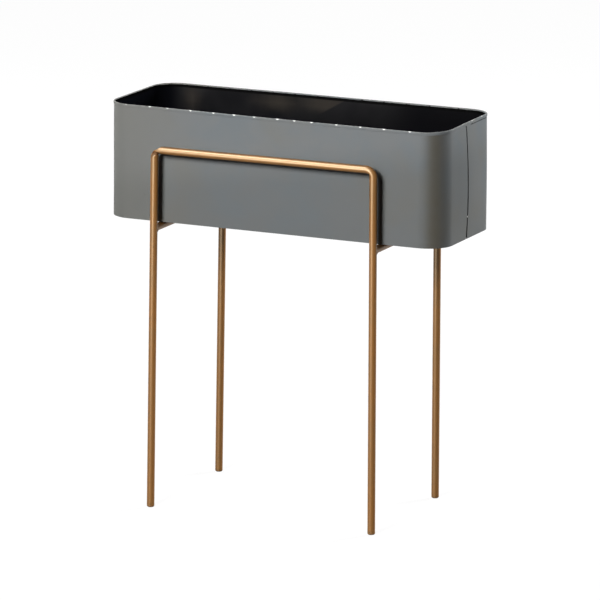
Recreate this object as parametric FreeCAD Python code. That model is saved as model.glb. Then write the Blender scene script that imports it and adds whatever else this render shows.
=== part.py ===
import FreeCAD, Part
import math
import os

from FreeCAD import Vector

# Plant stand: a sheet-metal trough that stands loose on two crossbars between two bent tube frames.
# Millimetres, +Z up, +X to the right along the trough, -Y to the front.
# The origin is on the floor, under the middle of the trough.

# Trough
trough_length = 600.0
trough_width = 220.0
trough_height = 191.0
corner_radius = 42.0
sheet_thickness = 1.0
seam_gap = 1.6
seam_strip_width = 26.0
seam_strip_end_gap = 1.5
pan_flange_height = 14.0
pan_clearance = 0.2

# Rim binding
binding_thickness = 0.7
binding_outer_depth = 5.2
binding_inner_depth = 3.6
binding_clearance = 0.1
crimp_spacing = 40.0
crimp_length = 5.0
crimp_depth = 0.3
slit_width = 0.9

# Stand
trough_base_height = 478.0
rail_height = 603.0
tube_diameter = 12.7
tube_wall = 1.2
bend_radius = 13.0
bend_flattening = 0.8
crease_depth = 1.4
crease_radius = 2.2
leg_spacing = 390.0
foot_splay = 4.5
frame_gap = 16.0
stand_shift = -4.0
rest_clearance = 0.3

# Welds and feet
weld_leg = 3.0
weld_end_gap = 0.5
cope_clearance = 0.1
foot_head_height = 5.0
foot_rounding = 2.6
foot_stem_length = 15.0
foot_stem_clearance = 0.5
foot_rib_clearance = 0.05
foot_rib_height = 1.5
foot_rib_count = 3

# Sizes that follow from those above
tube_radius = tube_diameter / 2
bore_radius = tube_radius - tube_wall
frame_depth = trough_width + 2 * frame_gap + tube_diameter
trough_top = trough_base_height + trough_height
binding_half = sheet_thickness / 2 + binding_clearance + binding_thickness
wall_top = trough_top - binding_half
crossbar_height = trough_base_height - rest_clearance - tube_radius
leg_lean = math.atan2(foot_splay, rail_height)
bend_turn = math.pi / 2 - leg_lean
bend_setback = bend_radius * math.tan(bend_turn / 2)
leg_length = math.hypot(foot_splay, rail_height)
tube_end = foot_head_height / math.cos(leg_lean)

up = Vector(0, 0, 1)
ends = {"left": -1, "right": 1}
sides = {"front": -1, "rear": 1}


def foot_point(end, side):
    """Where a leg's axis meets the floor."""
    return Vector(stand_shift + end * (leg_spacing / 2 + foot_splay), side * frame_depth / 2, 0)


def leg_axis(end):
    """Unit vector from a foot up along its leg."""
    return Vector(-end * math.sin(leg_lean), 0, math.cos(leg_lean))


def leg_bar(end, side, radius):
    """Round bar along a leg, from the floor to the rail's height."""
    return Part.makeCylinder(radius, leg_length, foot_point(end, side), leg_axis(end))


def bend_centre(end, y):
    """Middle of the circle that a tube's axis follows in a bend."""
    return Vector(stand_shift + end * (leg_spacing / 2 - bend_setback), y, rail_height - bend_radius)


def bend_direction(end, share):
    """Direction from a bend's middle: share 0 is at the rail, 1 at the leg."""
    angle = math.pi / 2 - share * bend_turn
    return Vector(end * math.cos(angle), 0, math.sin(angle))


def frame_path(y):
    """Axis of a bent frame from the left tube end over the rail to the right one."""
    edges = []
    rail_ends = []
    for end in (-1, 1):
        centre = bend_centre(end, y)
        at_rail = centre + bend_direction(end, 0) * bend_radius
        middle = centre + bend_direction(end, 0.5) * bend_radius
        at_leg = centre + bend_direction(end, 1) * bend_radius
        below = foot_point(end, math.copysign(1, y)) + leg_axis(end) * tube_end
        edges.append(Part.makeLine(below, at_leg))
        edges.append(Part.Arc(at_leg, middle, at_rail).toShape())
        rail_ends.append(at_rail)
    edges.append(Part.makeLine(*rail_ends))
    return Part.Wire(Part.__sortEdges__(edges))


def bent_bar(y, inset):
    """Bent round bar, inset from the tube's outside, with flattened and creased bends."""
    path = frame_path(y)
    start = path.OrderedVertexes[0].Point
    direction = (path.OrderedVertexes[1].Point - start).normalize()
    section = Part.Wire(Part.makeCircle(tube_radius - inset, start, direction))
    bar = path.makePipeShell([section], True, False)
    across = Vector(0, 2 * tube_diameter, 0)
    for end in (-1, 1):
        centre = bend_centre(end, y)
        outward = bend_direction(end, 0.5)
        flat = centre + outward * (bend_radius + tube_radius - bend_flattening - inset)
        block = Part.makeCylinder(bend_radius + tube_diameter, tube_diameter, flat, outward)
        reach = bend_radius - tube_radius + crease_depth - crease_radius
        crease_start = centre + outward * reach - across / 2
        crease = Part.makeCylinder(crease_radius + inset, across.Length, crease_start, across)
        bar = bar.cut(block).cut(crease)
    return bar


def frame(side):
    """Hollow inverted U of tube, two legs and a rail."""
    y = side * frame_depth / 2
    return bent_bar(y, 0).cut(bent_bar(y, tube_wall))


def crossbar_x(end):
    """Where a leg's axis passes the crossbars' height."""
    return stand_shift + end * (leg_spacing / 2 + foot_splay * (1 - crossbar_height / rail_height))


def crossbar_rod(end, radius):
    """Round bar along a crossbar, from one frame's plane to the other's."""
    start = Vector(crossbar_x(end), -frame_depth / 2, crossbar_height)
    return Part.makeCylinder(radius, frame_depth, start, Vector(0, 1, 0))


def crossbar(end):
    """Tube under the trough, its ends coped to fit against the legs."""
    tube = crossbar_rod(end, tube_radius).cut(crossbar_rod(end, bore_radius))
    for side in sides.values():
        tube = tube.cut(leg_bar(end, side, tube_radius + cope_clearance))
    return max(tube.Solids, key=lambda solid: solid.Volume)


def weld(end, side):
    """Two fillet beads, above and below, where a crossbar's coped end meets a leg."""
    joint = Vector(crossbar_x(end), side * frame_depth / 2, crossbar_height)
    inward = Vector(0, -side, 0)
    across = Vector(1, 0, 0)
    half_width = tube_radius - weld_end_gap
    reach = 2 * (tube_radius + weld_leg)
    face = tube_radius + cope_clearance
    beads = []
    for rise in (up, -up):
        along = (inward + rise).normalize()
        crown = joint + along * weld_leg / math.sqrt(2)
        long_end = crown + along * tube_diameter / math.sqrt(2)
        saddle = Part.Ellipse(long_end, crown + across * tube_radius, crown)
        prism = Part.Face(Part.Wire(saddle.toShape())).extrude((inward - rise).normalize() * reach)
        prism.translate((rise - inward).normalize() * reach / 2)
        quarter = Part.makeBox(2 * half_width, reach, reach)
        centre = joint + (inward + rise) * reach / 2
        quarter.translate(centre - Vector(half_width, reach / 2, reach / 2))
        bead = prism.common(quarter).cut(leg_bar(end, side, face)).cut(crossbar_rod(end, face))
        beads.append(max(bead.Solids, key=lambda solid: solid.Volume))
    return Part.makeCompound(beads)


def foot(end, side):
    """Plug in a tube end: rounded head cut flat on the floor and a ribbed stem in the bore."""
    below = tube_radius * math.tan(leg_lean)
    stem_radius = bore_radius - foot_stem_clearance
    rib_radius = bore_radius - foot_rib_clearance
    stem_top = tube_end + foot_stem_length
    rib_pitch = foot_stem_length / (foot_rib_count + 1)
    corners = [Vector(tube_radius, 0, foot_rounding - below)]
    corners += [Vector(tube_radius, 0, tube_end), Vector(stem_radius, 0, tube_end)]
    for index in range(foot_rib_count):
        low = tube_end + rib_pitch * (index + 1) - foot_rib_height / 2
        high = low + foot_rib_height
        corners += [Vector(stem_radius, 0, low), Vector(rib_radius, 0, low)]
        corners += [Vector(rib_radius, 0, high), Vector(stem_radius, 0, high)]
    corners += [Vector(stem_radius, 0, stem_top), Vector(0, 0, stem_top)]
    corners += [Vector(0, 0, -below), Vector(tube_radius - foot_rounding, 0, -below)]
    inset = foot_rounding * (1 - math.sqrt(0.5))
    middle = Vector(tube_radius - inset, 0, inset - below)
    outline = Part.makePolygon(corners).Edges + [Part.Arc(corners[-1], middle, corners[0]).toShape()]
    plug = Part.Face(Part.Wire(outline)).revolve(Vector(0, 0, 0), up, 360)
    floor = foot_point(end, side)
    plug.Placement = FreeCAD.Placement(floor, FreeCAD.Rotation(up, leg_axis(end)))
    under_floor = Part.makeBox(2 * tube_diameter, 2 * tube_diameter, tube_diameter)
    under_floor.translate(floor - Vector(tube_diameter, tube_diameter, tube_diameter))
    return plug.cut(under_floor)


def plan(inset):
    """Rounded rectangle of the trough seen from above, inset from the wall's outside, at height 0."""
    half_length = trough_length / 2 - inset
    half_width = trough_width / 2 - inset
    radius = corner_radius - inset
    edges = []
    corners = ((1, -1, 270), (1, 1, 0), (-1, 1, 90), (-1, -1, 180))
    for x_sign, y_sign, start in corners:
        centre = Vector(x_sign * (half_length - radius), y_sign * (half_width - radius), 0)
        edges.append(Part.makeCircle(radius, centre, up, start, start + 90))
    sides_between = []
    for index in range(len(edges)):
        after = edges[(index + 1) % len(edges)]
        sides_between.append(Part.makeLine(edges[index].lastVertex().Point, after.firstVertex().Point))
    return Part.Wire(Part.__sortEdges__(edges + sides_between))


def slab(inset, low, high):
    """Solid with the trough's plan between two heights."""
    block = Part.Face(plan(inset)).extrude(Vector(0, 0, high - low))
    block.translate(Vector(0, 0, low))
    return block


def trough_wall():
    """Strip of sheet bent to the plan, with its ends at the seam in the right end."""
    wall = slab(0, trough_base_height, wall_top).cut(slab(sheet_thickness, trough_base_height, wall_top))
    depth = 4 * sheet_thickness
    slot = Part.makeBox(depth, seam_gap, trough_height)
    slot.translate(Vector(trough_length / 2 - depth / 2, -seam_gap / 2, trough_base_height))
    return wall.cut(slot)


def seam_strip():
    """Backing strip inside the wall, behind the seam."""
    low = trough_base_height + pan_flange_height + seam_strip_end_gap
    high = trough_top - binding_inner_depth - seam_strip_end_gap
    strip = Part.makeBox(sheet_thickness, seam_strip_width, high - low)
    inside = trough_length / 2 - 2 * sheet_thickness
    strip.translate(Vector(inside, -seam_strip_width / 2, low))
    return strip


def trough_floor():
    """Pan inside the wall, its flange turned up round the edge."""
    outside = sheet_thickness + pan_clearance
    pan = slab(outside, trough_base_height, trough_base_height + pan_flange_height)
    low = trough_base_height + sheet_thickness
    return pan.cut(slab(outside + sheet_thickness, low, low + pan_flange_height))


def rim_normal(point):
    """Level outward direction of the wall at a point of the plan, at any height."""
    straight_x = trough_length / 2 - corner_radius
    straight_y = trough_width / 2 - corner_radius
    inner_x = max(-straight_x, min(straight_x, point.x))
    inner_y = max(-straight_y, min(straight_y, point.y))
    return (point - Vector(inner_x, inner_y, point.z)).normalize()


def binding_section():
    """Inverted U with a round back, in the plane across the front wall's middle line."""
    y = sheet_thickness / 2 - trough_width / 2
    outer_low = trough_top - binding_outer_depth
    inner_low = trough_top - binding_inner_depth
    inner = binding_half - binding_thickness
    corners = [Vector(0, y + offset, z) for offset, z in (
        (-binding_half, wall_top), (-binding_half, outer_low), (-inner, outer_low), (-inner, wall_top),
        (inner, wall_top), (inner, inner_low), (binding_half, inner_low), (binding_half, wall_top))]
    back = Part.Arc(corners[7], Vector(0, y, wall_top + binding_half), corners[0]).toShape()
    hollow = Part.Arc(corners[3], Vector(0, y, wall_top + inner), corners[4]).toShape()
    legs = [Part.makeLine(corners[i], corners[i + 1]) for i in (0, 1, 2, 4, 5, 6)]
    return Part.Wire(Part.__sortEdges__(legs + [back, hollow]))


def crimp_mark():
    """What one crimp takes away: a flat outside and a slit inside, where the wall faces +X."""
    flat_size = 4 * binding_half
    flat = Part.makeBox(flat_size, crimp_length, flat_size)
    flat.translate(Vector(binding_half - crimp_depth, -crimp_length / 2, -flat_size / 2))
    flat.rotate(Vector(0, 0, 0), Vector(0, 1, 0), -45)
    slit_depth = binding_half + binding_thickness
    slit = Part.makeBox(slit_depth, slit_width, binding_inner_depth)
    slit.translate(Vector(-slit_depth, -slit_width / 2, -binding_inner_depth))
    return Part.makeCompound([flat, slit])


def rim_binding():
    """Binding bent round the plan and crimped at even steps."""
    path = plan(sheet_thickness / 2)
    path.translate(Vector(0, 0, wall_top))
    binding = path.makePipeShell([binding_section()], True, False)
    count = round(path.Length / crimp_spacing)
    marks = []
    for point in path.discretize(Number=count + 1)[:-1]:
        outward = rim_normal(point)
        mark = crimp_mark()
        mark.rotate(Vector(0, 0, 0), up, math.degrees(math.atan2(outward.y, outward.x)))
        mark.translate(point)
        marks.append(mark)
    return binding.cut(Part.makeCompound(marks))


pieces = {
    "front_frame": frame(sides["front"]),
    "rear_frame": frame(sides["rear"]),
    "trough_wall": trough_wall(),
    "seam_strip": seam_strip(),
    "trough_floor": trough_floor(),
    "rim_binding": rim_binding(),
}
for end_name, end_sign in ends.items():
    pieces[end_name + "_crossbar"] = crossbar(end_sign)
    for side_name, side_sign in sides.items():
        corner = side_name + "_" + end_name
        pieces[corner + "_weld"] = weld(end_sign, side_sign)
        pieces[corner + "_foot"] = foot(end_sign, side_sign)

os.makedirs("parts", exist_ok=True)
for name, shape in pieces.items():
    solid = shape.Solids[0] if len(shape.Solids) == 1 else shape
    solid.exportStep("parts/" + name + ".step")
    print(name, len(shape.Solids), shape.isValid(), round(shape.Volume, 1))
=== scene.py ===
from math import atan2, copysign, cos, degrees, exp, pi, radians, sin, sqrt, tan

import bmesh
import bpy
from mathutils import Matrix, Vector, noise


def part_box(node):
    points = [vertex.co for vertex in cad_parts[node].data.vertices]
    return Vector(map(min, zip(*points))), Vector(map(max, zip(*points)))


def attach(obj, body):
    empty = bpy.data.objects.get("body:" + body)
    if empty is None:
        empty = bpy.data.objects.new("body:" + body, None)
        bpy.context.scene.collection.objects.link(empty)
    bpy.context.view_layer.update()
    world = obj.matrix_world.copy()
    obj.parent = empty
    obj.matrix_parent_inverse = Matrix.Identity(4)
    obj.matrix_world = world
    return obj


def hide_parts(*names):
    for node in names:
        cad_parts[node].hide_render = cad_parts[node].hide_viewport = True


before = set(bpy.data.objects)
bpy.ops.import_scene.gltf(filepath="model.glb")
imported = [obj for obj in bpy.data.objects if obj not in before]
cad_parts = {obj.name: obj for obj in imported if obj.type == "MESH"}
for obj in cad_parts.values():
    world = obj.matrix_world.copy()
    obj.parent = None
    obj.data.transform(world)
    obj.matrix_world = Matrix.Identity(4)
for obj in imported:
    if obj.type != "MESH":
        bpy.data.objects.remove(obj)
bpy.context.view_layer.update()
scene = bpy.context.scene
print("frame loaded:", len(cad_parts), "nodes")

# camera, lamps, floor and background

viewSet = {
    "azimuth": 24.335, "elevation": 12.567, "roll": 0.589, "distance": 9.1422,
    "target": (0.00425, 0.0, 0.34504), "lens": 332.84, "sensor": 36, "clipEnd": 100,
}


def addObject(name, data):
    thing = bpy.data.objects.new(name, data)
    scene.collection.objects.link(thing)
    return thing


def aimFrom(azimuth, elevation):
    a, e = radians(azimuth), radians(elevation)
    return Vector((sin(a) * cos(e), -cos(a) * cos(e), sin(e)))


def placeCamera():
    back = aimFrom(viewSet["azimuth"], viewSet["elevation"])
    right = Vector((-back.y, back.x, 0)).normalized()
    up = back.cross(right)
    roll = radians(viewSet["roll"])
    right = right * cos(roll) + up * sin(roll)
    data = bpy.data.cameras.new("photoCamera")
    data.lens = viewSet["lens"]
    data.sensor_width = viewSet["sensor"]
    data.clip_end = viewSet["clipEnd"]
    camera = addObject("photoCamera", data)
    turn = Matrix((right, back.cross(right), back)).transposed().to_4x4()
    camera.matrix_world = Matrix.Translation(Vector(viewSet["target"]) + back * viewSet["distance"]) @ turn
    scene.camera = camera


lampSet = {  # azimuth, elevation, distance, width, height, level, what it gives: body colour, gloss or both
    "frontKey": (-3, 25, 4.0, 1.1, 1.0, 1.12, "both"),
    "rightSide": (146, 14, 4.0, 1.2, 2.0, 1.74, "colour"),
    "leftRear": (-106, 18, 4.0, 1.4, 2.0, 0.75, "colour"),
    "railGlint": (-38, 49, 3.0, 0.9, 0.9, 2.5, "gloss"),
    "legGlint": (-14, 6, 2.4, 0.36, 0.5, 2.2, "gloss"),
}
lampAim = Vector((0, 0, 0.45))


def placeLamps():
    for name, (azimuth, elevation, distance, width, height, level, gives) in lampSet.items():
        data = bpy.data.lights.new(name, "AREA")
        data.shape = "RECTANGLE"
        data.size, data.size_y = width, height
        data.energy = level * (pi * distance) ** 2  # level 1 shows a colour as written
        back = aimFrom(azimuth, elevation)
        lamp = addObject(name, data)
        lamp.location = lampAim + back * distance
        lamp.rotation_mode = "QUATERNION"
        lamp.rotation_quaternion = (-back).to_track_quat("-Z", "Y")
        lamp.visible_diffuse = gives != "gloss"
        lamp.visible_glossy = gives != "colour"


def fillSockets(tree, node, values):
    for key, value in values.items():
        if isinstance(value, bpy.types.NodeSocket):
            tree.links.new(value, node.inputs[key])
        else:
            node.inputs[key].default_value = value


def putNode(tree, kind, values=None, **settings):
    node = tree.nodes.new("ShaderNode" + kind)
    for key, value in settings.items():
        setattr(node, key, value)
    fillSockets(tree, node, values or {})
    return node


def mathNode(tree, operation, first, second):
    return putNode(tree, "Math", {0: first, 1: second}, operation=operation).outputs[0]


def times(tree, first, *others):
    for other in others:
        first = mathNode(tree, "MULTIPLY", first, other)
    return first


def mixColor(tree, factor, first, second):
    return putNode(tree, "Mix", {0: factor, 6: first, 7: second}, data_type="RGBA").outputs[2]


def mapRange(tree, value, fromMin, fromMax, toMin, toMax, smooth=False):
    kind = "SMOOTHSTEP" if smooth else "LINEAR"
    values = {0: value, 1: fromMin, 2: fromMax, 3: toMin, 4: toMax}
    return putNode(tree, "MapRange", values, interpolation_type=kind, clamp=True).outputs[0]


def seenRay(tree):
    path = putNode(tree, "LightPath").outputs
    either = mathNode(tree, "MAXIMUM", path["Is Camera Ray"], path["Is Glossy Ray"])
    return mathNode(tree, "MAXIMUM", either, path["Is Transmission Ray"])


def emptyTree(owner):
    owner.use_nodes = True
    owner.node_tree.nodes.clear()
    return owner.node_tree


white = (1, 1, 1, 1)
stageSet = {
    "floorSize": 40.0, "floorDrop": 0.0003, "floorBounce": (0.02, 0.02, 0.02, 1),
    "floorTone": (0.12, 0.12, 0.12, 1),
    "reach": (1.0, 6.0),  # the floor's glow grows between these distances from the middle
    "glow": (0.88, 0.96), "ambient": 0.004,
}


def buildWorld():
    world = bpy.data.worlds.new("whiteRoom")
    scene.world = world
    tree = emptyTree(world)
    bright = putNode(tree, "Background", {"Color": white, "Strength": 1.0})
    dim = putNode(tree, "Background", {"Color": white, "Strength": stageSet["ambient"]})
    mix = putNode(tree, "MixShader", {0: seenRay(tree), 1: dim.outputs[0], 2: bright.outputs[0]})
    putNode(tree, "OutputWorld", {"Surface": mix.outputs[0]})


def makeFloorPaint():
    paint = bpy.data.materials.new("paleFloorPaint")
    tree = emptyTree(paint)
    place = putNode(tree, "TexCoord").outputs["Object"]
    reach = putNode(tree, "VectorMath", {0: place}, operation="LENGTH").outputs["Value"]
    glow = mapRange(tree, reach, *stageSet["reach"], *stageSet["glow"], True)
    tone = putNode(tree, "BsdfDiffuse", {"Color": stageSet["floorTone"]})
    shine = putNode(tree, "Emission", {"Color": white, "Strength": glow})
    seen = putNode(tree, "AddShader", {0: tone.outputs[0], 1: shine.outputs[0]})
    bounce = putNode(tree, "BsdfDiffuse", {"Color": stageSet["floorBounce"]})
    mix = putNode(tree, "MixShader", {0: seenRay(tree), 1: bounce.outputs[0], 2: seen.outputs[0]})
    putNode(tree, "OutputMaterial", {"Surface": mix.outputs[0]})
    return paint


def buildFloor():
    half = stageSet["floorSize"] / 2
    mesh = bpy.data.meshes.new("paleFloor")
    corners = [(-half, -half, 0), (half, -half, 0), (half, half, 0), (-half, half, 0)]
    mesh.from_pydata(corners, [], [(0, 1, 2, 3)])
    floor = addObject("paleFloor", mesh)
    floor.location.z = -stageSet["floorDrop"]
    mesh.materials.append(makeFloorPaint())


scene.view_settings.view_transform = "Standard"
placeCamera()
placeLamps()
buildWorld()
buildFloor()
print("stage set: camera,", len(lampSet), "lamps, floor and background")

# shared surface effects, one node group each

socketKinds = dict.fromkeys(("Base", "Cool", "Warm", "Color"), "NodeSocketColor")
socketKinds.update(dict.fromkeys(("Vector", "Normal"), "NodeSocketVector"))


def makeGroup(name, inputs, outputs, wire):
    group = bpy.data.node_groups.new(name, "ShaderNodeTree")
    for way, labels in (("INPUT", inputs), ("OUTPUT", outputs)):
        for label in labels:
            kind = socketKinds.get(label, "NodeSocketFloat")
            group.interface.new_socket(label, in_out=way, socket_type=kind)
    given = group.nodes.new("NodeGroupInput").outputs
    fillSockets(group, group.nodes.new("NodeGroupOutput"), wire(group, given))
    return group


def noiseAt(tree, vector, scale, detail=2.0, roughness=0.5):
    values = {"Vector": vector, "Scale": scale, "Detail": detail, "Roughness": roughness}
    return putNode(tree, "TexNoise", values).outputs[0]


grainSet = {"fineness": 5.3, "coarseShare": 0.65, "fineShare": 0.35, "glossLimits": (0.3, 0.7)}


def wireGrain(group, given):
    coarse = noiseAt(group, given["Vector"], given["Scale"], detail=3.0, roughness=0.6)
    fine = noiseAt(group, given["Vector"], times(group, given["Scale"], grainSet["fineness"]))
    parts = times(group, coarse, grainSet["coarseShare"]), times(group, fine, grainSet["fineShare"])
    gloss = mapRange(group, coarse, *grainSet["glossLimits"], 0, 1)
    return {"Height": mathNode(group, "ADD", *parts), "Gloss": gloss}


mottleSet = {"apart": (3.7, 1.9, 5.2), "patchScale": 0.62, "Cool": (0.42, 0.68), "Warm": (0.45, 0.70)}


def wireMottle(group, given):
    cloud = noiseAt(group, given["Vector"], given["Scale"], detail=4.0, roughness=0.55)
    moved = {0: given["Vector"], 1: mottleSet["apart"]}
    shifted = putNode(group, "VectorMath", moved, operation="ADD").outputs[0]
    patch = noiseAt(group, shifted, times(group, given["Scale"], mottleSet["patchScale"]), detail=3.0)
    color = given["Base"]
    for wave, tone in ((cloud, "Cool"), (patch, "Warm")):
        mask = times(group, mapRange(group, wave, *mottleSet[tone], 0, 1, True), given["Amount"])
        color = mixColor(group, mask, color, given[tone])
    return {"Color": color}


def wireMarkMask(group, given):
    crumbs = noiseAt(group, given["Vector"], given["Scale"], detail=3.0, roughness=0.6)
    shift = times(group, mathNode(group, "SUBTRACT", crumbs, 0.5), given["Break"])
    edge = mathNode(group, "ADD", given["Edge"], shift)
    worn = mapRange(group, edge, given["From"], given["To"], 0, 1, True)
    return {"Mask": times(group, worn, given["Amount"])}


dustSet = {"lyingLimits": (0.35, 1.0), "speckScale": 160.0, "speckLimits": (0.4, 0.75), "thinnest": 0.25}


def wireDust(group, given):
    up = putNode(group, "SeparateXYZ", {0: given["Normal"]}).outputs[2]
    lying = mapRange(group, up, *dustSet["lyingLimits"], 0, 1, True)
    specks = noiseAt(group, given["Vector"], dustSet["speckScale"], detail=4.0, roughness=0.65)
    speck = mapRange(group, specks, *dustSet["speckLimits"], dustSet["thinnest"], 1)
    return {"Mask": times(group, lying, speck, given["Amount"])}


paintGrain = makeGroup("paintGrain", ("Vector", "Scale"), ("Height", "Gloss"), wireGrain)
mottleInputs = ("Vector", "Base", "Cool", "Warm", "Scale", "Amount")
tintMottle = makeGroup("tintMottle", mottleInputs, ("Color",), wireMottle)
markInputs = ("Vector", "Edge", "Scale", "Break", "From", "To", "Amount")
markMask = makeGroup("markMask", markInputs, ("Mask",), wireMarkMask)
dustFilm = makeGroup("dustFilm", ("Vector", "Normal", "Amount"), ("Mask",), wireDust)

# materials


def useGroup(tree, group, values):
    return putNode(tree, "Group", values, node_tree=group).outputs


usualLimits = (0.35, 0.75)
# marks of wear and of painted light and shade alike
markSet = {  # scale of a mark's crumbs, amount, how broken its edge is, limits if they are not the usual ones
    "bent": (30.0, 0.90, 0.15, 0.0, 1.0),
    "stain": (40.0, 0.90, 0.35, 0.0, 1.0),
    "soil": (300.0, 0.95, 0.50),
    "rub": (210.0, 0.80, 0.90),
    "chip": (900.0, 1.00, 0.50),
    "heat": (260.0, 0.75, 0.90),
    "crease": (520.0, 0.90, 0.90),
    "scuff": (700.0, 0.80, 0.90),
}


def markMaskAt(tree, place, mark, broken=None):
    scale, amount, usualBreak, *limits = markSet[mark]
    low, high = limits or usualLimits
    edge = putNode(tree, "Attribute", attribute_name=mark).outputs["Fac"]
    values = {"Vector": place, "Edge": edge, "Scale": scale, "Break": broken or usualBreak,
              "From": low, "To": high, "Amount": amount}
    return useGroup(tree, markMask, values)["Mask"]


def mottled(tree, place, look, tones="tones"):
    base, cool, warm = look[tones]
    values = {"Vector": place, "Base": base, "Cool": cool, "Warm": warm,
              "Scale": look["mottleScale"], "Amount": look["mottleAmount"]}
    return useGroup(tree, tintMottle, values)["Color"]


def grained(tree, place, look):
    # roughness and normal from the grain
    grain = useGroup(tree, paintGrain, {"Vector": place, "Scale": look["grainScale"]})
    rough = mapRange(tree, grain["Gloss"], 0, 1, *look["rough"])
    strength, distance = look["bump"]
    values = {"Strength": strength, "Distance": distance, "Height": grain["Height"]}
    return rough, putNode(tree, "Bump", values).outputs[0]


def dusted(tree, place, color, look):
    normal = putNode(tree, "NewGeometry").outputs["Normal"]
    values = {"Vector": place, "Normal": normal, "Amount": look["dustAmount"]}
    return mixColor(tree, useGroup(tree, dustFilm, values)["Mask"], color, look["dust"])


def makeMaterial(name, look, dress):
    # dress gives what is a material's own
    material = bpy.data.materials.new(name)
    tree = emptyTree(material)
    place = putNode(tree, "TexCoord").outputs["Object"]
    rough, normal = grained(tree, place, look)
    values = {"Roughness": rough, "Normal": normal, "Specular IOR Level": look["specular"],
              "Specular Tint": look.get("sheenTint", white)}
    values.update(dress(tree, place, rough))
    shader = putNode(tree, "BsdfPrincipled", values)
    putNode(tree, "OutputMaterial", {"Surface": shader.outputs[0]})
    return material


paintSet = {
    "tones": ((0.186, 0.196, 0.199, 1), (0.168, 0.190, 0.203, 1), (0.188, 0.189, 0.176, 1)),
    "shadedTones": ((0.145, 0.153, 0.154, 1), (0.137, 0.153, 0.161, 1), (0.148, 0.148, 0.138, 1)),
    "mottleScale": 14.0, "mottleAmount": 0.75, "grainScale": 420.0, "rough": (0.46, 0.60),
    "bump": (0.12, 0.0004), "specular": 0.02,
    "shadeLimits": (0.550, 0.625),  # heights between which the painted shade fades, darker below
    "shadeTilt": 0.15,  # the painted shade climbs towards the right
    "shadeAmount": 0.85,
    "leftTone": (0.194, 0.193, 0.178, 1),
    "leftShadedTone": (0.163, 0.164, 0.150, 1),
    "leftLimits": (-0.27, -0.13),  # the olive tone of the left end fades between these places
    "leftAmount": 0.8,
    "cornerShadeTone": (0.092, 0.080, 0.058, 1),
    # darkened seam edges, painted shadow under the rim and painted shade in the rim's crimp dents
    "soil": (0.020, 0.019, 0.017, 1),
    "dust": (0.42, 0.41, 0.38, 1), "dustAmount": 0.25,
}


def greyPaintColor(tree, place):
    high = mottled(tree, place, paintSet)
    # painted shade: darker tones towards the bottom and towards the right stand in for light that falls off
    # there
    low = mottled(tree, place, paintSet, "shadedTones")
    parts = putNode(tree, "SeparateXYZ", {0: place}).outputs
    level = mathNode(tree, "SUBTRACT", parts[2], times(tree, parts[0], paintSet["shadeTilt"]))
    share = mapRange(tree, level, *paintSet["shadeLimits"], paintSet["shadeAmount"], 0, True)
    color = mixColor(tree, share, high, low)
    olive = mixColor(tree, share, paintSet["leftTone"], paintSet["leftShadedTone"])
    leftShare = mapRange(tree, parts[0], *paintSet["leftLimits"], paintSet["leftAmount"], 0, True)
    color = mixColor(tree, leftShare, color, olive)
    # painted shade on the rounded corners, with a brown tint
    color = mixColor(tree, markMaskAt(tree, place, "bent"), color, paintSet["cornerShadeTone"])
    # darkened seam edges, and painted shadow under the rim and in its crimp dents
    return mixColor(tree, markMaskAt(tree, place, "soil"), color, paintSet["soil"])


def dressWall(tree, place, rough):
    return {"Base Color": dusted(tree, place, greyPaintColor(tree, place), paintSet)}


rimPaintSet = {
    # lighter tone for the rim's top: painted highlight with some rub
    "rubAndHighlightTone": (0.36, 0.36, 0.34, 1),
    # near white: bare metal with a painted glint
    "bareMetalGlint": (0.90, 0.90, 0.88, 1),
    "bareShine": 0.30, "bareRough": 0.48, "grainScale": 420.0, "rough": (0.40, 0.54),
    "bump": (0.12, 0.0003), "specular": 0.02,
}


def dressRim(tree, place, rough):
    # bare chips painted near white: worn metal and a painted glint
    bareGlint = markMaskAt(tree, place, "chip")
    # the rim's top is painted lighter: painted highlight with some rub
    color = mixColor(tree, markMaskAt(tree, place, "rub"), greyPaintColor(tree, place), rimPaintSet["rubAndHighlightTone"])
    return {"Base Color": mixColor(tree, bareGlint, color, rimPaintSet["bareMetalGlint"]),
            "Roughness": mapRange(tree, bareGlint, 0, 1, rough, rimPaintSet["bareRough"]),
            "Metallic": times(tree, bareGlint, rimPaintSet["bareShine"])}


insideSet = {
    "tones": ((0.0024, 0.0026, 0.0038, 1), (0.0022, 0.0026, 0.0046, 1), (0.0032, 0.0031, 0.0038, 1)),
    "mottleScale": 7.0, "mottleAmount": 0.8, "grainScale": 300.0, "rough": (0.52, 0.70),
    "bump": (0.15, 0.0004), "specular": 0.012,
    # painted light on the inside of the rear wall: its pale tone, heights, ends, clouds and strength
    "film": (0.0185, 0.0182, 0.0190, 1), "paintedLightHeights": (0.600, 0.662),
    "paintedLightEnds": (-0.285, -0.262, 0.060, 0.170),  # where the painted light begins, is full, thins and ends
    "paintedLightScale": 11.0, "paintedLightLimits": (0.32, 0.58), "paintedLightShares": (0.4, 1.0), "paintedLightAmount": 0.9,
    "stain": (0.036, 0.031, 0.026, 1),
    "stainEnd": (0.003, 0.646),  # where the longest painted light patch ends, along the side and in height
    "paintedLightPatchLean": 1.7, "paintedLightPatchFade": 0.003,
    # near black painted shadow under the rim and on its inner lip
    "soil": (0.0012, 0.0012, 0.0012, 1), "shadeBreak": 0.3,
    "dust": (0.05, 0.047, 0.042, 1), "dustAmount": 0.35,
}


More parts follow.
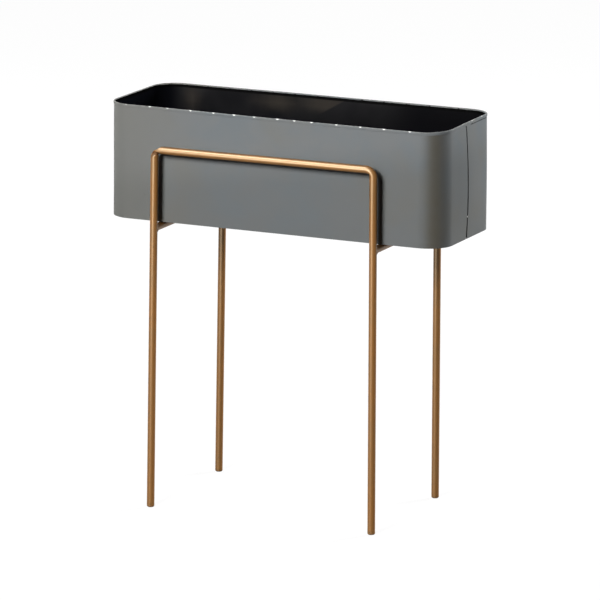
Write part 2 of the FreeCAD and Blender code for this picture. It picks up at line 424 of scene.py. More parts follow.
def insidePaintedLight(tree, place, parts):
    # painted light inside: paler towards the rim, in clouds
    climb = mapRange(tree, parts[2], *insideSet["paintedLightHeights"], 0, insideSet["paintedLightAmount"])
    clouds = noiseAt(tree, place, insideSet["paintedLightScale"])
    cloud = mapRange(tree, clouds, *insideSet["paintedLightLimits"], *insideSet["paintedLightShares"], True)
    begun = mapRange(tree, parts[0], *insideSet["paintedLightEnds"][:2], 0, 1, True)
    gone = mapRange(tree, parts[0], *insideSet["paintedLightEnds"][2:], 1, 0, True)
    return times(tree, climb, cloud, begun, gone)


def insidePaintedLightPatch(tree, place, parts):
    # painted patches of light, of which the longest ends at a leaning line
    lean, fade = insideSet["paintedLightPatchLean"], insideSet["paintedLightPatchFade"]
    end = insideSet["stainEnd"][0] - lean * insideSet["stainEnd"][1]
    past = mathNode(tree, "SUBTRACT", parts[0], times(tree, parts[2], lean))
    cut = mapRange(tree, past, end - fade, end + fade, 1, 0, True)
    return times(tree, markMaskAt(tree, place, "stain"), cut)


def dressInside(tree, place, rough):
    parts = putNode(tree, "SeparateXYZ", {0: place}).outputs
    color = dusted(tree, place, mottled(tree, place, insideSet), insideSet)
    # painted light on the inside of the rear wall
    color = mixColor(tree, insidePaintedLight(tree, place, parts), color, insideSet["film"])
    color = mixColor(tree, insidePaintedLightPatch(tree, place, parts), color, insideSet["stain"])
    # painted shadow under the rim and on its inner lip
    soil = markMaskAt(tree, place, "soil", insideSet["shadeBreak"])
    return {"Base Color": mixColor(tree, soil, color, insideSet["soil"])}


lacquerSet = {
    "tones": ((0.216, 0.086, 0.013, 1), (0.200, 0.086, 0.017, 1), (0.230, 0.086, 0.010, 1)),
    "mottleScale": 26.0, "mottleAmount": 0.8, "grainScale": 700.0, "rough": (0.38, 0.46),
    "bump": (0.10, 0.0002),
    "metallic": (0.08, 0.85),  # clean, and in the darkest painted shade, to keep the white room's reflection out of it
    "specular": 0.55, "sheenTint": (1.0, 0.92, 0.68, 1),
    "heat": (0.105, 0.045, 0.020, 1),
    # painted shade in the bends' creases and the fold
    "dirt": (0.030, 0.008, 0.003, 1), "dirtRough": 0.85, "darkestPaintedShade": (0.6, 0.9),
    "dust": (0.40, 0.36, 0.30, 1), "dustAmount": 0.08,
}


def dressLacquer(tree, place, rough):
    # painted shade in creases: darker, rougher and more metallic
    dirt = markMaskAt(tree, place, "crease")
    color = mixColor(tree, markMaskAt(tree, place, "heat"), mottled(tree, place, lacquerSet), lacquerSet["heat"])
    color = mixColor(tree, dirt, color, lacquerSet["dirt"])
    return {"Base Color": dusted(tree, place, color, lacquerSet),
            "Roughness": mapRange(tree, dirt, 0, 1, rough, lacquerSet["dirtRough"]),
            "Metallic": mapRange(tree, dirt, *lacquerSet["darkestPaintedShade"], *lacquerSet["metallic"])}


plugSet = {
    "tones": ((0.205, 0.090, 0.020, 1), (0.190, 0.088, 0.024, 1), (0.218, 0.090, 0.018, 1)),
    "mottleScale": 60.0, "mottleAmount": 0.6, "grainScale": 900.0, "rough": (0.42, 0.58),
    "bump": (0.12, 0.0002), "specular": 0.5,
    "sheenTint": (1.0, 0.88, 0.62, 1),
    "scuff": (0.120, 0.085, 0.050, 1),
}


def dressPlug(tree, place, rough):
    scuff = markMaskAt(tree, place, "scuff")
    return {"Base Color": mixColor(tree, scuff, mottled(tree, place, plugSet), plugSet["scuff"])}


greyPaint = makeMaterial("satinGreyPaint", paintSet, dressWall)
rimPaint = makeMaterial("rimPaintWithPaintedHighlights", rimPaintSet, dressRim)
insidePaint = makeMaterial("mattBlackPaint", insideSet, dressInside)
brassLacquer = makeMaterial("brassLacquer", lacquerSet, dressLacquer)
plugPlastic = makeMaterial("mouldedFootPlastic", plugSet, dressPlug)
print("materials made: paint, rim, inside, lacquer, foot plastic")

# mesh helpers


def bridgeRings(rings, closed=False):
    # closed: the last ring joins the first one, or else both ends have caps
    count = len(rings[0])
    points = [point for ring in rings for point in ring]
    faces = []
    for i in range(len(rings) if closed else len(rings) - 1):
        j = (i + 1) % len(rings)
        for k in range(count):
            n = (k + 1) % count
            faces.append((i * count + k, i * count + n, j * count + n, j * count + k))
    if not closed:
        faces.append(tuple(range(count)))
        faces.append(tuple(range(len(points) - count, len(points))))
    return points, faces


def evenly(steps):
    return [step / steps for step in range(steps + 1)]


def fullTurns(sides):
    return [2 * pi * share for share in evenly(sides)[:-1]]


def quarterTurns(steps):
    return [pi / 2 * share for share in evenly(steps)]


def roundRing(heart, first, second, sides):
    return [heart + first * cos(turn) + second * sin(turn) for turn in fullTurns(sides)]


def addPart(points, faces, part):
    # joins a part to a piece and says how many points and faces it brings
    start = len(points)
    points += part[0]
    faces += [tuple(start + index for index in face) for face in part[1]]
    return len(part[0]), len(part[1])


def makePiece(node, shape, materials, body, marks=None, faceMaterials=None, sharp=38):
    # shape gives points and faces, and the node gives the piece its name
    first, *others = node.split("_")
    name = first + "".join(word.capitalize() for word in others)
    mesh = bpy.data.meshes.new(name)
    mesh.from_pydata(shape[0], [], shape[1])
    for label, values in (marks or {}).items():
        mesh.attributes.new(label, "FLOAT", "POINT").data.foreach_set("value", values)
    for material in materials:
        mesh.materials.append(material)
    if faceMaterials:
        mesh.polygons.foreach_set("material_index", faceMaterials)
    work = bmesh.new()
    work.from_mesh(mesh)
    bmesh.ops.recalc_face_normals(work, faces=work.faces)
    work.to_mesh(mesh)
    work.free()
    mesh.shade_smooth()
    mesh.set_sharp_from_angle(angle=radians(sharp))
    piece = addObject(name, mesh)
    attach(piece, body)
    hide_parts(node)


def bell(value, width):
    return exp(-(value / width) ** 2)


def limited(value):
    return min(1.0, max(0.0, value))


def addDome(points, faces, spot, out, wide, size):
    # a small bead that stands on a surface: size gives its height, width and length
    across, levels = 14, 5
    height, width, length = size
    tall = out.cross(wide)
    rings = []
    for lift in quarterTurns(levels)[:-1]:
        heart = spot + out * (height * sin(lift))
        spread = cos(lift)
        rings.append(roundRing(heart, wide * (width * spread), tall * (length * spread), across))
    return addPart(points, faces, bridgeRings(rings))


# trough: the outline that its wall, rim, strip and floor follow

wallLow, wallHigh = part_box("trough_wall")
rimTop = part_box("rim_binding")[1].z
outlineSet = {
    "corner": 0.042, "middleY": (wallHigh.y + wallLow.y) / 2, "sheet": 0.001, "lineStep": 0.012,
    "arcSteps": 18,
}
halfX = (wallHigh.x - wallLow.x) / 2 - outlineSet["corner"]
halfY = (wallHigh.y - wallLow.y) / 2 - outlineSet["corner"]
arcLength = outlineSet["corner"] * pi / 2
outlineRuns = [("line", halfY)]  # from the seam in the right end, rear side first
for length in (2 * halfX, 2 * halfY, 2 * halfX, halfY):
    outlineRuns += [("arc", arcLength), ("line", length)]
outlineLength = sum(length for kind, length in outlineRuns)
rearStart = sum(length for kind, length in outlineRuns[:2])  # right end of the rear side
rearMiddle, rearEnd = rearStart + halfX, rearStart + 2 * halfX
frontStart = sum(length for kind, length in outlineRuns[:6])  # left end of the front side
frontMiddle, frontEnd = frontStart + halfX, frontStart + 2 * halfX


def outlineAt(distance):
    left = distance % outlineLength
    corner = outlineSet["corner"]
    heading = 0.0
    place = Vector((halfX + corner, outlineSet["middleY"], 0))
    for kind, length in outlineRuns:
        part = min(left, length)
        outward = Vector((cos(heading), sin(heading), 0))
        if kind == "line":
            place = place + Vector((-outward.y, outward.x, 0)) * part
        else:
            centre = place - outward * corner
            heading += part / corner
            outward = Vector((cos(heading), sin(heading), 0))
            place = centre + outward * corner
        left -= part
        if left <= 0:
            break
    return place, outward


def outlineStations():
    stations, start = [], 0.0
    for kind, length in outlineRuns:
        steps = outlineSet["arcSteps"] if kind == "arc" else max(1, round(length / outlineSet["lineStep"]))
        stations += [start + length * step / steps for step in range(steps)]
        start += length
    return stations


wallSet = {
    "rows": 22,
    "lipRows": (0.0036, 0.0052, 0.0064, 0.0080),  # more rows under the rim, below its top
    "lipShade": (0.0066, 0.0068),  # the painted shadow's reach below the rim's top, inside and outside
    "lipShadeMarks": (0.8, 0.65),  # and its strength
    "lipFrom": 0.004,  # outside, the painted shadow lies behind this place
    "seamGap": 0.0022, "seamOpening": 0.0012,
    "seamLean": (-0.0078, -0.0106),  # how far the seam runs before the middle of the end, bottom and top
    "seamSoil": 0.0020, "bulge": 0.0036, "bulgeReach": 0.055,
    "flare": 0.0024,  # how far the right end stands out at the bottom
    "waviness": 0.00030,
    "waves": (7, 2.1),  # along the wall, per metre, and up the wall
    "cornerShadeMarks": ((40, 0.74), (135, 0.60), (-135, 0.60)),  # painted shade on the rounded corners: facing in degrees from the front, strength
    "cornerShadeSpread": 26,
    # faint painted patches of light inside on the rear: middle along the side, half width, height, half
    # height, strength
    "stains": ((-0.246, 0.016, 0.645, 0.026, 0.72),
               (0.004, 0.050, 0.654, 0.014, 1.0),
               (-0.090, 0.045, 0.651, 0.016, 0.85)),
    "paintedLightPatchFacing": 0.9, "tackHeight": 0.5153, "tackSize": (0.0006, 0.0014, 0.0014),
    "tackSink": 0.0003, "tackChipGlint": 0.9,
}
rimWave = [  # how far the rim stands above its level, in places along the outline
    (0.0, 0.0010), (0.056, 0.0016), (0.100, 0.0008),
    (rearStart, 0.0005), (rearMiddle, 0.0), (rearEnd, -0.0010),
    (frontStart, -0.0004), (frontMiddle, -0.0012), (frontEnd, -0.0014),
    (outlineLength - halfY, 0.0), (outlineLength, 0.0010),
]


def rimRise(distance):
    left = distance % outlineLength
    for (start, low), (end, high) in zip(rimWave, rimWave[1:]):
        if left <= end:
            break
    return low + (high - low) * (0.5 - 0.5 * cos(pi * (left - start) / (end - start)))


def wallSwell(distance, share):
    fromSeam = min(distance % outlineLength, outlineLength - distance % outlineLength)
    held = sin(pi * limited(share))
    bow = wallSet["bulge"] * bell(fromSeam, wallSet["bulgeReach"])
    along, up = wallSet["waves"]
    ripple = wallSet["waviness"] * noise.noise(Vector((distance * along, share * up, 4.3)))
    turned = min(max(fromSeam - halfY, 0) / outlineSet["corner"], pi / 2)
    flare = wallSet["flare"] * (1 - share) * cos(turned) ** 2
    return (bow + ripple) * held + flare


def seamAt(share):
    low, high = wallSet["seamLean"]
    return low + (high - low) * share


def heightShare(z):
    return (z - wallLow.z) / (wallHigh.z - wallLow.z)


def wallShares():
    return sorted(evenly(wallSet["rows"] - 1) + [heightShare(rimTop - depth) for depth in wallSet["lipRows"]])


def wallDistance(column, stations, share):
    # the first and last two columns follow the seam
    gap = (wallSet["seamGap"] + wallSet["seamOpening"] * (1 - share) ** 5) / 2
    last = len(stations) + 3
    if column < 2:
        return seamAt(share) + gap + column * wallSet["seamSoil"]
    if column > last - 2:
        return outlineLength + seamAt(share) - gap - (last - column) * wallSet["seamSoil"]
    return stations[column - 2]


def cornerShadeMark(outward):
    # painted shade: how dark a rounded corner is painted, by the way the wall faces there
    facing = degrees(atan2(outward.x, -outward.y))
    return max(mark * bell(facing - middle, wallSet["cornerShadeSpread"]) for middle, mark in wallSet["cornerShadeMarks"])


def lipShade(depth, place, outward, inside):
    # painted shadow under the rim: all round inside, and outside on the rear half of the right end
    side = 0 if inside else 1
    if depth > wallSet["lipShade"][side]:
        return 0.0
    mark = wallSet["lipShadeMarks"][side]
    return mark if inside else mark * max(0.0, outward.x) * (place.y > wallSet["lipFrom"])


def paintedLightPatchMark(place, outward):
    if outward.y < wallSet["paintedLightPatchFacing"]:
        return 0.0
    return max(strength * bell(place.x - middle, wide) * bell(place.z - height, tall)
               for middle, wide, height, tall, strength in wallSet["stains"])


def addTack(points, faces):
    # tack that bridges the seam low down
    share = heightShare(wallSet["tackHeight"])
    spot, outward = outlineAt(seamAt(share))
    spot = spot + outward * (wallSwell(seamAt(share), share) - wallSet["tackSink"])
    spot.z = wallSet["tackHeight"]
    return addDome(points, faces, spot, outward, Vector((0, 1, 0)), wallSet["tackSize"])


def buildTroughWall():
    low, tall = wallLow.z, wallHigh.z - wallLow.z
    shares = wallShares()
    depths = [rimTop - low - tall * share for share in shares]
    stations = outlineStations()[1:]
    columns = len(stations) + 4
    rings, bent, soil, stain = [], [], [], []
    for column in range(columns):
        outer, inner = [], []
        for share in shares:
            distance = wallDistance(column, stations, share)
            place, outward = outlineAt(distance)
            place = place + outward * wallSwell(distance, share)
            place.z = low + tall * share + rimRise(distance) * share ** 3
            outer.append(place)
            inner.append(place - outward * outlineSet["sheet"])
        rings.append(outer + inner[::-1])
        # painted shade on the rounded corners
        bent += [cornerShadeMark(outward)] * len(rings[-1])
        stain += [paintedLightPatchMark(place, outward) for place in rings[-1]]
        # the seam's edge columns are darkened, and under the rim the wall gets painted shadow
        seamMark = 1.0 if column in (0, columns - 1) else 0.0
        soil += [max(seamMark, lipShade(depth, place, outward, False)) for depth, place in zip(depths, outer)]
        soil += [lipShade(depth, place, outward, True) for depth, place in zip(depths[::-1], inner[::-1])]
    points, faces = bridgeRings(rings)
    rows = len(shares)
    # black inside, grey outside and at the seam
    faceMaterials = [int(rows <= face % (2 * rows) < 2 * rows - 1) for face in range(len(faces) - 2)] + [0, 0]
    tackPoints, tackFaces = addTack(points, faces)
    faceMaterials += [2] * tackFaces
    # the tack gets a bare chip with a painted glint
    marks = {"chip": [0.0] * len(bent) + [wallSet["tackChipGlint"]] * tackPoints}
    for label, values in (("bent", bent), ("soil", soil), ("stain", stain)):
        marks[label] = values + [0.0] * tackPoints
    materials = [greyPaint, insidePaint, rimPaint]
    makePiece("trough_wall", (points, faces), materials, "trough", marks, faceMaterials)


rimSet = {
    "half": 0.0013, "thickness": 0.0007, "outerDepth": 0.0052, "innerDepth": 0.0036,
    "legShare": 0.6,  # where the outer lip begins, as a share of its depth
    "slitShare": 0.72, "arcPoints": 9, "dent": 0.00040, "dentLength": 0.0021, "pinch": 0.00045,
    "pinchLength": 0.003,
    "press": 0.00040,  # how far the outer lip is pressed to the wall
    "slit": 0.0005, "slitTop": 0.0016, "slitShade": 0.95,
    "crimpSteps": (0.0, 0.0005, 0.00062, 0.0017, 0.0028, 0.0045),  # stations on both sides of a crimp
    "rub": (0.52, 0.15),  # on the top, where it is mostly painted highlight, and elsewhere
    "highlightDepth": 0.0011, "chipGlintLength": 0.0034,
    "chipGlintBand": (0.0001, 0.0010),  # a chip and its painted glint lie between these places across the top
    "chipGlintStretch": (1.1, 0.5),  # usual length of a front chip's painted glint and how far it varies
    "tickLength": 0.0014, "tickReach": 0.0005,
    # crimps along the front, in metres from the middle, and how strong each one's bare chip with painted
    # glint is
    "frontCrimps": ((-0.262, 0.6), (-0.219, 0.9), (-0.187, 0.6), (-0.145, 0.95), (-0.104, 0.9),
                    (-0.067, 0.95), (-0.031, 0.85), (0.0105, 1.0), (0.0405, 0.9), (0.071, 0.95),
                    (0.115, 0.9), (0.157, 0.95), (0.1985, 0.95), (0.244, 0.95)),
    # crimps from the seam round the rear corner, in metres, and how strong each one's bare chip with painted
    # glint is
    "rightCrimps": ((0.0128, 0.95), (0.0540, 0.95), (0.0930, 0.5)),
    "rightStretch": 0.8,
    # crimps along the rear, in metres from the middle, and how dark the painted shade in each dent shows
    "rearCrimps": ((0.2367, 0.9), (0.1851, 0.8), (0.1444, 0.3), (0.1036, 0.8), (0.0641, 1.0), (0.0240, 0.3),
                   (-0.0160, 0.2), (-0.0570, 0.5), (-0.0970, 0.3), (-0.1370, 0.4), (-0.1770, 0.2),
                   (-0.2170, 0.5), (-0.2560, 0.2)),
    "rearChip": 0.3,
    # plain crimps at an even spacing, round the left end and at the front right corner
    "plainRuns": ((rearEnd + 0.030, frontStart - 0.020), (frontEnd + 0.030, outlineLength - 0.012)),
    "plainChipGlint": 0.5, "spacing": 0.040,
}


def rimCrimps():
    # place along the outline, how strong the bare chip with painted glint is, how long and how dark each
    # crimp is
    crimps = []
    usual, change = rimSet["chipGlintStretch"]
    for x, chip in rimSet["frontCrimps"]:
        stretch = usual + change * noise.noise(Vector((x * 57, 3.1, 6.4)))
        crimps.append((frontMiddle + x, chip, stretch, 0.0))
    crimps += [(place, chip, rimSet["rightStretch"], 0.0) for place, chip in rimSet["rightCrimps"]]
    crimps += [(rearMiddle - x, rimSet["rearChip"], 1.0, dark) for x, dark in rimSet["rearCrimps"]]
    for start, end in rimSet["plainRuns"]:
        while start < end:
            crimps.append((start, rimSet["plainChipGlint"], 1.0, 0.0))
            start += rimSet["spacing"]
    return sorted(crimps)


def rimSection():
    # (outward, height under the top, kind) round the U, from the outer lip up and over
    half = rimSet["half"]
    inner, top = half - rimSet["thickness"], -half
    outerLow, innerLow = -rimSet["outerDepth"], -rimSet["innerDepth"]
    legTop, slitTop = rimSet["legShare"] * outerLow, rimSet["slitShare"] * innerLow
    turns = [pi * share for share in evenly(rimSet["arcPoints"] - 1)]
    section = [(half - rimSet["press"], outerLow, "lip"), (half, legTop, "leg")]
    section += [(half * cos(turn), top + half * sin(turn), "back") for turn in turns]
    section += [(-half, slitTop, "slit"), (-half, innerLow, "slit")]
    section += [(-inner, innerLow, "slit"), (-inner, slitTop, "slit")]
    section += [(inner * cos(turn), top + inner * sin(turn), "hollow") for turn in turns[::-1]]
    section += [(inner, legTop, "leg"), (inner, outerLow, "lip")]
    return section


def crimped(out, height, kind, away):
    # a point of the section after pressing, by its distance from the crimp
    half = rimSet["half"]
    if kind == "slit" and abs(away) < rimSet["slit"] + 1e-6:
        height = max(height, -rimSet["slitTop"])
    if kind == "back":
        outside = max(0.0, (out / half + (height + half) / half) / sqrt(2))
        push = rimSet["dent"] * bell(away, rimSet["dentLength"]) * outside ** 2
        return out - push, height - push
    if kind == "lip":
        out -= rimSet["pinch"] * bell(away, rimSet["pinchLength"])
    return out, height


def rimLooks(out, height, kind, away, crimp):
    # how much painted shade, rub with painted highlight, and bare chip with painted glint a point of the
    # section gets
    chip, stretch, dark = crimp[1:]
    top, elsewhere = rimSet["rub"]
    # the inner lip gets painted shadow, and the rear dents get ticks of painted shade
    if kind != "back":
        return rimSet["slitShade"] if kind == "slit" else 0.0, elsewhere, 0.0
    tick = dark * bell(away, rimSet["tickLength"]) if out < rimSet["tickReach"] else 0.0
    rub = top if height > -rimSet["highlightDepth"] else elsewhere
    first, last = rimSet["chipGlintBand"]
    bareGlint = chip * bell(away, rimSet["chipGlintLength"] * stretch) if first < out < last else 0.0
    return tick, rub * (1 - tick), bareGlint


def buildRimBinding():
    crimps = rimCrimps()
    stations = set(outlineStations())
    for crimp in crimps:
        for step in rimSet["crimpSteps"]:
            stations.update(((crimp[0] - step) % outlineLength, (crimp[0] + step) % outlineLength))
    section = rimSection()
    rings, looks, faceMaterials = [], [], []
    for distance in sorted(stations):
        near = min(crimps, key=lambda crimp: abs(crimp[0] - distance))
        away = distance - near[0]
        place, outward = outlineAt(distance)
        place = place - outward * (outlineSet["sheet"] / 2)
        level = rimTop + rimRise(distance)
        ring = []
        for out, height, kind in section:
            out, height = crimped(out, height, kind, away)
            ring.append(place + outward * out + Vector((0, 0, level + height)))
            looks.append(rimLooks(out, height, kind, away, near))
            # the inside's black ends lower at the rear
            innermost = kind == "back" and out < -0.99 * rimSet["half"]
            faceMaterials.append(int(kind in ("slit", "hollow") or (innermost and outward.y < 0.5)))
        rings.append(ring)
    shape = bridgeRings(rings, closed=True)
    marks = dict(zip(("soil", "rub", "chip"), zip(*looks)))
    materials = [rimPaint, insidePaint]
    makePiece("rim_binding", shape, materials, "trough", marks, faceMaterials, sharp=50)


stripSet = {"rows": 14, "columns": 8, "bevel": 0.0003, "clearance": 0.00003}


def buildSeamStrip():
    low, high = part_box("seam_strip")
    rings = []
    for up in evenly(stripSet["rows"] - 1):
        z = low.z + (high.z - low.z) * up
        outer, inner = [], []
        for across in evenly(stripSet["columns"] - 1):
            y = low.y + (high.y - low.y) * across
            swell = wallSwell(abs(y - outlineSet["middleY"]), heightShare(z))
            edge = stripSet["bevel"] if across in (0, 1) else 0.0
            outer.append(Vector((high.x - stripSet["clearance"] + swell, y, z)))
            inner.append(Vector((low.x + swell + edge, y, z)))
        rings.append(outer + inner[::-1])
    makePiece("seam_strip", bridgeRings(rings), [insidePaint], "trough")


panSet = {"inset": 0.0012, "bend": 0.0022, "bendSteps": 5, "edge": 0.0003}


def panProfile(low, high):
    # (inset from the outline, height) from the underside round the bend and over the flange to the floor
    sheet, bend, edge = outlineSet["sheet"], panSet["bend"], panSet["edge"]
    outside, inside = panSet["inset"], panSet["inset"] + sheet
    small = bend - sheet
    turns = quarterTurns(panSet["bendSteps"])
    profile = [(outside + bend * (1 - sin(turn)), low + bend * (1 - cos(turn))) for turn in turns]
    profile += [(outside, high - edge), (outside + edge, high), (inside - edge, high), (inside, high - edge)]
    profile += [(inside + small * (1 - cos(turn)), low + sheet + small * (1 - sin(turn)))
                for turn in turns]
    return profile


def buildTroughFloor():
    low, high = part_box("trough_floor")
    spots = [outlineAt(distance) for distance in outlineStations()]
    rings = []
    for inset, z in panProfile(low.z, high.z):
        rings.append([place - outward * inset + Vector((0, 0, z)) for place, outward in spots])
    makePiece("trough_floor", bridgeRings(rings), [insidePaint], "trough")


buildTroughWall()
buildRimBinding()
buildSeamStrip()
buildTroughFloor()
print("trough built: wall, rim, seam strip and floor")

# stand: bent frames, crossbars, welds and feet

barLow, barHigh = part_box("left_crossbar")
frontLow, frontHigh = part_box("front_frame")
tubeSet = {
    "radius": (barHigh.z - barLow.z) / 2, "middle": (frontLow.x + frontHigh.x) / 2,
    "legHalf": 0.195, "splay": 0.0045, "railHeight": 0.603, "bendRadius": 0.013,
    "tubeEnd": frontLow.z, "endBevel": 0.0003, "sides": 44, "bendSteps": 44, "legSteps": 10,
    "barSteps": 12,
    "heat": 0.75,  # from the welds, with its reach on legs and crossbars
    "legHeat": 0.009, "barHeat": 0.007,
}
frameHalf = -(frontLow.y + frontHigh.y) / 2
barHeight = (barLow.z + barHigh.z) / 2
legLean = atan2(tubeSet["splay"], tubeSet["railHeight"])
bendSet = {
    # left and right bend: height against the rail's level, flats outside (share of the bend, depth),
    # sharpness inside, lumps beside the inner crease, and the depth of a fold in front
    "front_frame": ({"rise": -0.0011, "flats": ((0.66, 0.0025), (0.40, 0.0021), (0.16, 0.0011)),
                     "sharp": 1.0, "lump": 0.00045, "fold": 0.0014},
                    {"rise": 0.0005, "flats": ((0.50, 0.0005),), "sharp": 1.0, "lump": 0.00010}),
    "rear_frame": ({"flats": ((0.50, 0.0006),), "sharp": 0.8, "lump": 0.00020},
                   {"flats": ((0.50, 0.0007),), "sharp": 0.9, "lump": 0.00030}),
    "ridges": ((0.24, 0.09), (0.78, 0.08)),  # lumps: share of the bend, width
    "wobble": 0.6, "wobbleSteps": (0.35, 6, 9), "innerShade": 0.95, "innerShadeWidth": 0.10,
    "creaseAt": (0.61, -0.38),  # share of the bend at the tube's middle line, change towards the outside
    "creaseWobble": 0.03, "creaseWidth": 0.035, "creaseDepth": 0.0012, "creaseShade": 1.1,
    "creaseShadeWidth": 0.09, "foldWidth": 0.20, "foldShade": 0.66,
    "foldEdge": (0.95, 0.8),  # where the fold ends towards the outside of the bend, and how softly
    "shadeEdge": (1.0, 0.5),
    "shadeAt": -0.24,  # middle of the painted shade on the leg's side of the crease
    "shadeWidth": 0.27,
    # spatter: turn to the front, share of the bend, size
    "beads": ((0.50, 0.20, 0.0010), (0.95, 0.36, 0.0008), (1.20, 0.16, 0.0007)),
    "beadSink": 1.2,
}


def legAt(end, z):
    return tubeSet["middle"] + end * (tubeSet["legHalf"] + tubeSet["splay"] * (1 - z / tubeSet["railHeight"]))


def framePath(end, bend):
    # stations from the tube end up one leg and round its bend: place, outward direction, share of the bend
    radius = tubeSet["bendRadius"]
    turn = pi / 2 - legLean
    setback = radius * tan(turn / 2)
    top = Vector((legAt(end, tubeSet["railHeight"]), 0, tubeSet["railHeight"] + bend.get("rise", 0)))
    down = Vector((end * sin(legLean), 0, -cos(legLean)))
    start = top + down * setback
    centre = top - Vector((end * setback, 0, radius))
    length = (start.z - tubeSet["tubeEnd"]) / cos(legLean)

    def facing(share):
        angle = legLean + turn * share
        return Vector((end * cos(angle), 0, sin(angle)))

    legShares = evenly(tubeSet["legSteps"])[:-1]
    stations = [(start + down * length * (1 - share), facing(0), None) for share in legShares]
    for share in evenly(tubeSet["bendSteps"]):
        stations.append((centre + facing(share) * radius, facing(share), share))
    flats = [(facing(share), depth) for share, depth in bend["flats"]]
    return stations, (centre, flats)


def foldAt(angle, share, wobble, bend):
    # how deep the fold in front is and how much painted shade it gets: a groove that ends at a crease
    outside = cos(angle)
    front = limited(0.5 - 2 * sin(angle))
    middle, change = bendSet["creaseAt"]
    fromCrease = share - middle - change * outside - bendSet["creaseWobble"] * (wobble - 1)
    groove = bend["fold"] * exp(-(fromCrease / bendSet["foldWidth"] + 1) ** 4)
    crease = bendSet["creaseDepth"] * bell(fromCrease, bendSet["creaseWidth"])
    edge, fade = bendSet["foldEdge"]
    depth = front * limited((edge - outside) / fade) * (groove + crease)
    shade = bendSet["foldShade"] * exp(-((fromCrease - bendSet["shadeAt"]) / bendSet["shadeWidth"]) ** 4)
    edge, fade = bendSet["shadeEdge"]
    soil = max(shade, bendSet["creaseShade"] * bell(fromCrease, bendSet["creaseShadeWidth"]))
    return depth, front * limited((edge - outside) / fade) * soil


def bentPoint(point, radial, side, station, path, bend, y, radius):
    # where a point of the tube lies after bending, and how much painted shade it gets
    out, share = station[1:]
    centre, flats = path
    angle = 2 * pi * side / tubeSet["sides"]
    inner = max(0.0, -cos(angle))
    fromMiddle = abs(share - 0.5) * pi / 2
    corner = (tubeSet["bendRadius"] - radius) * (1 / cos(pi / 4 - fromMiddle) - 1)
    ridge = sum(bell(share - middle, width) for middle, width in bendSet["ridges"]) * inner ** 4
    seed = Vector((side, share, y)) * Vector(bendSet["wobbleSteps"])
    wobble = 1 + bendSet["wobble"] * noise.noise(seed)
    point = point + out * (bend["sharp"] * corner * inner ** 2 - bend["lump"] * ridge * wobble)
    # painted shade inside the bend
    soil = bendSet["innerShade"] * bell(share - 0.5, bendSet["innerShadeWidth"]) * inner ** 3
    if "fold" in bend:
        depth, foldShade = foldAt(angle, share, wobble, bend)
        point = point - radial * depth
        soil = max(soil, foldShade)
    for facing, depth in flats:
        high = (point - centre).dot(facing) - (tubeSet["bendRadius"] + radius - depth)
        point = point - facing * max(0.0, high)
    return point, soil


def tubeRing(station, path, bend, y, radius):
    place, out, share = station
    ring, dirt = [], []
    for side, radial in enumerate(roundRing(Vector(), out, Vector((0, 1, 0)), tubeSet["sides"])):
        point, soil = place + radial * radius, 0.0
        if share is not None:
            point, soil = bentPoint(point, radial, side, station, path, bend, y, radius)
        point.y += y
        ring.append(point)
        dirt.append(soil)
    return ring, dirt


def addBeads(points, faces, end, bend, y):
    # spatter left beside the fold
    stations = framePath(end, bend)[0]
    count = 0
    for toFront, share, size in bendSet["beads"]:
        place, out = stations[tubeSet["legSteps"] + round(share * tubeSet["bendSteps"])][:2]
        radial = out * cos(pi + toFront) + Vector((0, sin(pi + toFront), 0))
        spot = place + radial * (tubeSet["radius"] - bendSet["beadSink"] * size) + Vector((0, y, 0))
        count += addDome(points, faces, spot, radial, out.cross(radial).normalized(), (size, size, size))[0]
    return count


def buildFrame(node, y):
    rings, dirt, heat = [], [], []
    radius, bevel = tubeSet["radius"], tubeSet["endBevel"]
    for end, bend in zip((-1, 1), bendSet[node]):
        stations, path = framePath(end, bend)
        first, out = stations[0][:2]
        along = (stations[1][0] - first).normalized()
        half = [tubeRing(stations[0], path, bend, y, radius - bevel)]
        for station in [(first + along * bevel, out, None)] + stations[1:]:
            half.append(tubeRing(station, path, bend, y, radius))
        if end > 0:
            half.reverse()
        rings += [ring for ring, soil in half]
        dirt += [value for ring, soil in half for value in soil]
    points, faces = bridgeRings(rings)
    leftBend = bendSet[node][0]
    if "fold" in leftBend:
        dirt += [0.0] * addBeads(points, faces, -1, leftBend, y)
    for point in points:
        end = -1 if point.x < 0 else 1
        spot = Vector((legAt(end, barHeight), y - copysign(radius, y), barHeight))
        heat.append(tubeSet["heat"] * bell((point - spot).length, tubeSet["legHeat"]))
    marks = {"crease": dirt, "heat": heat}
    makePiece(node, (points, faces), [brassLacquer], "stand", marks)


def saddle(end, side, angle):
    # a point of the crossbar's coped end, by the angle from its top, and the way that its side faces there
    radius = tubeSet["radius"]
    across = radius * sin(angle)
    reach = sqrt(max(0.0, radius ** 2 - across ** 2))
    x, y = legAt(end, barHeight) + across, side * (frameHalf - reach)
    return Vector((x, y, barHeight + radius * cos(angle))), Vector((sin(angle), 0, cos(angle)))


def buildCrossbar(node, end):
    rings, heat = [], []
    for step in evenly(tubeSet["barSteps"]):
        share = 0.5 - 0.5 * cos(pi * step)  # closer rings near both ends
        ring = []
        for angle in fullTurns(tubeSet["sides"]):
            front, rear = saddle(end, -1, angle)[0], saddle(end, 1, angle)[0]
            point = front.lerp(rear, share)
            ring.append(point)
            nearest = min((point - front).length, (point - rear).length)
            heat.append(tubeSet["heat"] * bell(nearest, tubeSet["barHeat"]))
        rings.append(ring)
    makePiece(node, bridgeRings(rings), [brassLacquer], "stand", {"heat": heat})


weldSet = {
    "radius": 0.0019, "flatness": 0.85, "lift": 0.0004, "span": 66, "steps": 60, "sides": 14,
    "ripple": 0.09, "pitch": 0.0014,
    "probe": 0.01,  # the bead's direction is taken over this angle
    "tail": 0.04, "heat": 0.62,
}


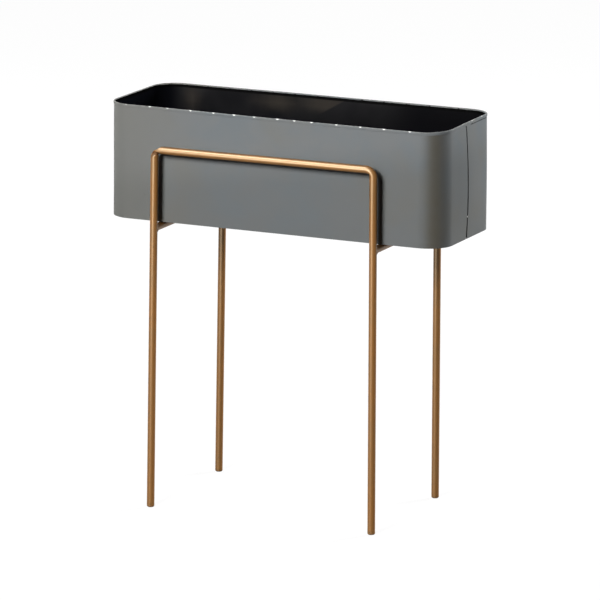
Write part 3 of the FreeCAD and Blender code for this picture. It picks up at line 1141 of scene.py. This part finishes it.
def weldRings(end, side, middle):
    rings, run, before = [], 0.0, None
    for step in evenly(weldSet["steps"]):
        share = 2 * step - 1
        angle = middle + radians(weldSet["span"]) * share
        point, out = saddle(end, side, angle)
        along = (saddle(end, side, angle + weldSet["probe"])[0] - point).normalized()
        lean = (out + Vector((0, -side, 0))).normalized()
        cross = along.cross(lean).normalized()
        run += (point - before).length if before else 0.0
        before = point
        size = weldSet["radius"] * (1 + weldSet["ripple"] * sin(2 * pi * run / weldSet["pitch"]))
        size *= sqrt(max(weldSet["tail"], 1 - share ** 6))
        heart = point + lean * weldSet["lift"]
        rings.append(roundRing(heart, lean * (size * weldSet["flatness"]), cross * size, weldSet["sides"]))
    return rings


def buildWeld(node, end, side):
    points, faces = [], []
    for middle in (0.0, pi):
        addPart(points, faces, bridgeRings(weldRings(end, side, middle)))
    marks = {"heat": [weldSet["heat"]] * len(points)}
    makePiece(node, (points, faces), [brassLacquer], "stand", marks, sharp=70)


footSet = {
    "rounding": 0.0026, "roundSteps": 7, "headHeight": 0.005, "seamGroove": 0.0003,
    "clearance": 0.00005, "hub": 0.0005, "stemRadius": 0.00465, "stemLength": 0.015, "ribs": 3,
    "ribRadius": 0.0051, "ribHeight": 0.0015, "ribBevel": 0.0002, "sides": 44, "scuff": 0.75,
    "scuffHeight": 0.0016,
}


def footProfile():
    # (radius, height) from the floor up the head, along the ribbed stem and to its end
    radius, rounding, head = tubeSet["radius"], footSet["rounding"], footSet["headHeight"]
    stem, rib, bevel = footSet["stemRadius"], footSet["ribRadius"], footSet["ribBevel"]
    groove, shoulder = footSet["seamGroove"], head - footSet["clearance"]
    profile = [(footSet["hub"], 0.0), (radius - rounding, 0.0)]
    for turn in quarterTurns(footSet["roundSteps"])[1:]:
        profile.append((radius - rounding + rounding * sin(turn), rounding - rounding * cos(turn)))
    profile += [(radius, head - groove), (radius - groove, shoulder), (stem, shoulder)]
    pitch = footSet["stemLength"] / (footSet["ribs"] + 1)
    for count in range(1, footSet["ribs"] + 1):
        low = head + pitch * count - footSet["ribHeight"] / 2
        high = low + footSet["ribHeight"]
        profile += [(stem, low), (rib, low + bevel), (rib, high - bevel), (stem, high)]
    top = head + footSet["stemLength"]
    profile += [(stem, top), (footSet["hub"], top)]
    return profile


def buildFoot(node, end, side):
    base = Vector((legAt(end, 0), side * frameHalf, 0))
    axis = Vector((-end * sin(legLean), 0, cos(legLean)))
    across = Vector((cos(legLean), 0, end * sin(legLean)))
    rings, scuff = [], []
    for radius, height in footProfile():
        ring = roundRing(base + axis * height, across * radius, Vector((0, radius, 0)), footSet["sides"])
        for point in ring:
            point.z = max(point.z, 0.0)
        rings.append(ring)
        scuff += [footSet["scuff"] * bell(height, footSet["scuffHeight"])] * len(ring)
    makePiece(node, bridgeRings(rings), [plugPlastic], "stand", {"scuff": scuff})


buildFrame("front_frame", -frameHalf)
buildFrame("rear_frame", frameHalf)
for endName, end in (("left", -1), ("right", 1)):
    buildCrossbar(endName + "_crossbar", end)
    for sideName, side in (("front", -1), ("rear", 1)):
        corner = sideName + "_" + endName
        buildWeld(corner + "_weld", end, side)
        buildFoot(corner + "_foot", end, side)
print("stand built: frames, crossbars, welds and feet")

print("scene finished")
